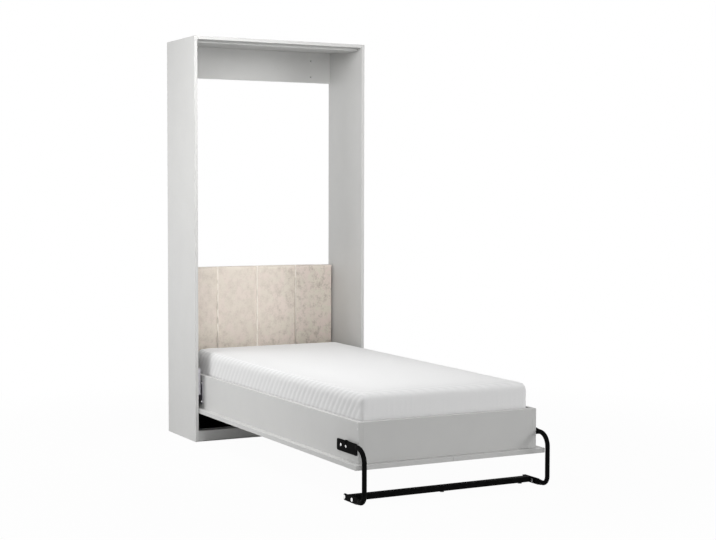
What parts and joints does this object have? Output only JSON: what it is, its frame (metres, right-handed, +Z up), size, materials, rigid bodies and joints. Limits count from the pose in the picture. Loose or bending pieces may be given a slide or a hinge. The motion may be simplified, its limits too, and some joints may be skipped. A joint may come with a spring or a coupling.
{
  "type": "wall bed",
  "caption": "Upright open cabinet with a fold-down single bed: boxed slatted base with mattress, padded headboard, strut-assisted pivots and a folding tube leg.",
  "frame": {"origin": "on the floor, under the middle of the whole object with the bed down", "axes": "+Z up, +Y towards the wall behind the cabinet (the bed points to -Y), +X to the right seen from the foot end"},
  "size_m": [1.05, 2.349, 2.232],
  "materials": {
    "board": "light grey melamine-faced board, satin",
    "black_board": "black melamine-faced board",
    "raw_wood": "raw softwood and plywood",
    "slat_wood": "bent birch slats, sealed",
    "black_plastic": "black moulded plastic",
    "velvet": "cream crushed velvet",
    "mattress_cover": "white quilted knit",
    "zinc_steel": "zinc-plated steel",
    "black_steel": "black powder coat",
    "nylon": "natural nylon",
    "cover_cap": "light grey plastic"
  },
  "bodies": {
    "cabinet": {"side_panel_left": "board", "side_panel_right": "board", "top_panel": "board", "top_stop_rail": "board", "upper_back_rail": "board", "lower_back_panel": "black_board", "plinth_board": "board", "headboard_pad": "velvet", "headboard_backing": "raw_wood", "headboard_bracket_left": "zinc_steel", "headboard_bracket_right": "zinc_steel", "lift_plate_left": "zinc_steel", "lift_plate_right": "zinc_steel", "pivot_pin_left": "zinc_steel", "pivot_pin_right": "zinc_steel", "strut_anchor_stud_left": "zinc_steel", "strut_anchor_stud_right": "zinc_steel", "lift_plate_screws": "zinc_steel"},
    "bed": {"bed_bracket_left": "zinc_steel", "bed_bracket_right": "zinc_steel", "bed_bracket_screws": "zinc_steel", "bed_foot_board": "board", "bed_head_board": "board", "bed_side_left": "board", "bed_side_right": "board", "front_panel_left": "board", "front_panel_right": "board", "joining_batten": "raw_wood", "joint_covers": "cover_cap", "leg_pivot_bolt_left": "black_steel", "leg_pivot_bolt_right": "black_steel", "leg_plate_left": "black_steel", "leg_plate_right": "black_steel", "leg_plate_screws": "zinc_steel", "mattress": "mattress_cover", "pivot_bush_left": "nylon", "pivot_bush_right": "nylon", "slat_holders": "black_plastic", "slat_rail_left": "raw_wood", "slat_rail_right": "raw_wood", "slats": "slat_wood", "strut_bed_stud_left": "zinc_steel", "strut_bed_stud_right": "zinc_steel"},
    "leg": {"leg_tube_left": "black_steel", "leg_tube_right": "black_steel", "crossbar": "black_steel", "crossbar_end_plate_left": "black_steel", "crossbar_end_plate_right": "black_steel", "crossbar_bolts": "zinc_steel", "floor_pads": "black_plastic"},
    "strut_left": {"strut_cylinder_left": "black_steel"},
    "strut_right": {"strut_cylinder_right": "black_steel"},
    "strut_rod_left": {"strut_rod_left": "zinc_steel"},
    "strut_rod_right": {"strut_rod_right": "zinc_steel"}
  },
  "joints": [
    {"name": "bed_fold", "type": "hinge", "parent": "cabinet", "child": "bed", "pos_m": [0, 0.841, 0.2525], "axis": [-1, 0, 0], "range_deg": [0, 90]},
    {"name": "leg_fold", "type": "hinge", "parent": "bed", "child": "leg", "pos_m": [0, -0.9855, 0.264], "axis": [-1, 0, 0], "range_deg": [0, 183.15]},
    {"name": "strut_swing_left", "type": "hinge", "parent": "cabinet", "child": "strut_left", "pos_m": [0, 0.8965, 0.4325], "axis": [-1, 0, 0], "range_deg": [0, 8.92]},
    {"name": "strut_slide_left", "type": "slide", "parent": "strut_left", "child": "strut_rod_left", "axis": [0, 0.029, -0.9996], "range_m": [0, 0.08697]},
    {"name": "strut_swing_right", "type": "hinge", "parent": "cabinet", "child": "strut_right", "pos_m": [0, 0.8965, 0.4325], "axis": [-1, 0, 0], "range_deg": [0, 8.92]},
    {"name": "strut_slide_right", "type": "slide", "parent": "strut_right", "child": "strut_rod_right", "axis": [0, 0.029, -0.9996], "range_m": [0, 0.08697]}
  ],
  "couplings": [
    {"joint": "leg_fold", "follows": "bed_fold", "ratio": 2.035},
    {"joint": "strut_swing_left", "follows": "bed_fold", "ratio": 0.09895},
    {"joint": "strut_slide_left", "follows": "bed_fold", "m_per_rad": 0.0553},
    {"joint": "strut_swing_right", "follows": "bed_fold", "ratio": 0.09895},
    {"joint": "strut_slide_right", "follows": "bed_fold", "m_per_rad": 0.0553}
  ]
}
